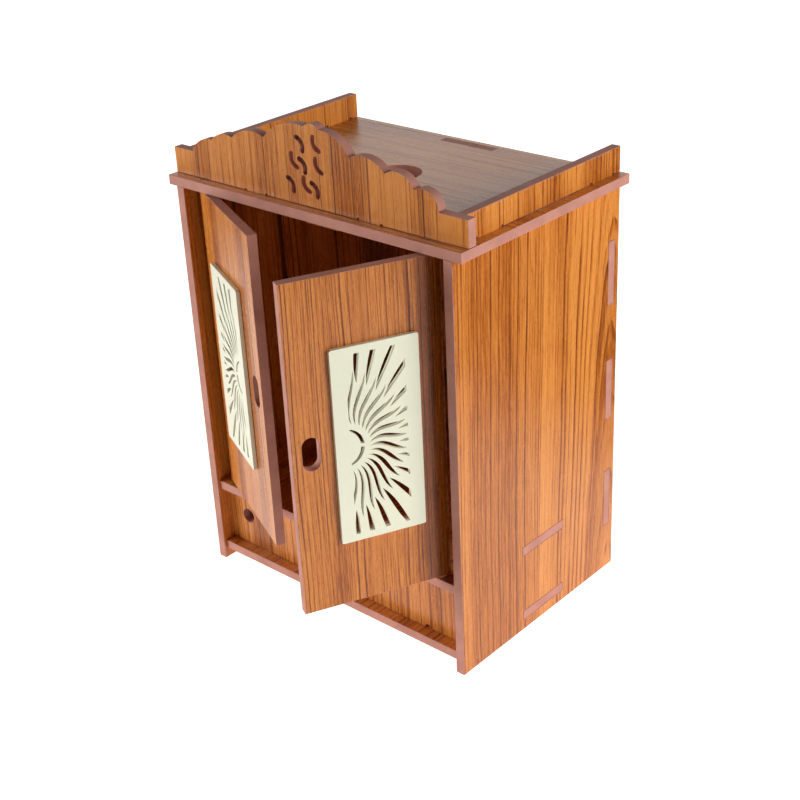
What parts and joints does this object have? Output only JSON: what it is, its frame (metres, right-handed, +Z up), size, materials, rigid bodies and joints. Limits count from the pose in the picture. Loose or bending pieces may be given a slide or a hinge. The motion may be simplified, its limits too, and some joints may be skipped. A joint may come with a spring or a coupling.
{
  "type": "household altar cabinet",
  "caption": "Small wood-grain household altar cabinet with pin-hung doors, a shelf, a low compartment, rails and a scalloped crest.",
  "frame": {"origin": "middle of the back panel's foot, on the surface that the cabinet stands on", "axes": "+X to the right seen from the front, +Y to the back, +Z up"},
  "size_m": [0.28, 0.2803, 0.3918],
  "materials": {
    "grain_board": "satin orange-brown wood-grain laminate on fibreboard, with bare pinkish brown cut edges",
    "cream_plate": "smooth satin cream plate with a pale rim"
  },
  "bodies": {
    "cabinet": {"side_panel_left": "grain_board", "side_panel_right": "grain_board", "back_panel": "grain_board", "bottom_board": "grain_board", "shelf": "grain_board", "lower_front_panel": "grain_board", "top_board": "grain_board", "rail_left": "grain_board", "rail_right": "grain_board", "crest_board": "grain_board", "door_stop": "grain_board"},
    "left_leaf": {"door_left": "grain_board", "ray_panel_left": "cream_plate"},
    "right_leaf": {"door_right": "grain_board", "ray_panel_right": "cream_plate"}
  },
  "joints": [
    {"name": "left_door_hinge", "type": "hinge", "parent": "cabinet", "child": "left_leaf", "pos_m": [-0.109, -0.173, 0.2], "axis": [0, 0, 1], "range_deg": [-99.7, 25.3]},
    {"name": "right_door_hinge", "type": "hinge", "parent": "cabinet", "child": "right_leaf", "pos_m": [0.109, -0.173, 0.2], "axis": [0, 0, 1], "range_deg": [-64.5, 60.5]}
  ]
}
